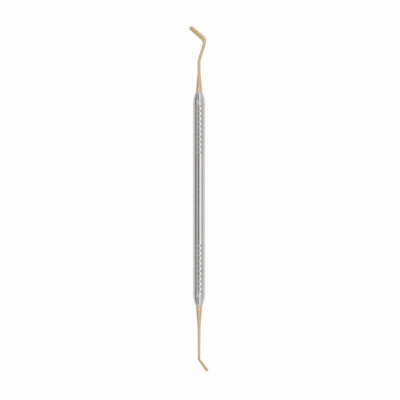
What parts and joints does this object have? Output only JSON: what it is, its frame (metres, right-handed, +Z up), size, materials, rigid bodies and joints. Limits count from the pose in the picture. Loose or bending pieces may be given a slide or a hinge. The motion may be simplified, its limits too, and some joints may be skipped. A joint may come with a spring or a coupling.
{
  "type": "plastic filling instrument",
  "caption": "Slim double-ended hand instrument: cross-grooved octagonal steel handle with a coated angled flat blade and a small flat-faced condenser.",
  "frame": {"origin": "middle of the handle's lower flat, which it rests on", "axes": "+Y along the handle towards the blade, +Z up from the lower flat, +X to the right seen from above with the blade end away"},
  "size_m": [0.0097, 0.1747, 0.006],
  "materials": {
    "handle_steel": "satin stainless steel, drawn along the bar, with turned noses",
    "gold_coating": "stainless steel under a thin pale gold hard coating, satin"
  },
  "bodies": {
    "root": {"handle": "handle_steel", "blade_end": "gold_coating", "nib_end": "gold_coating"}
  },
  "joints": []
}
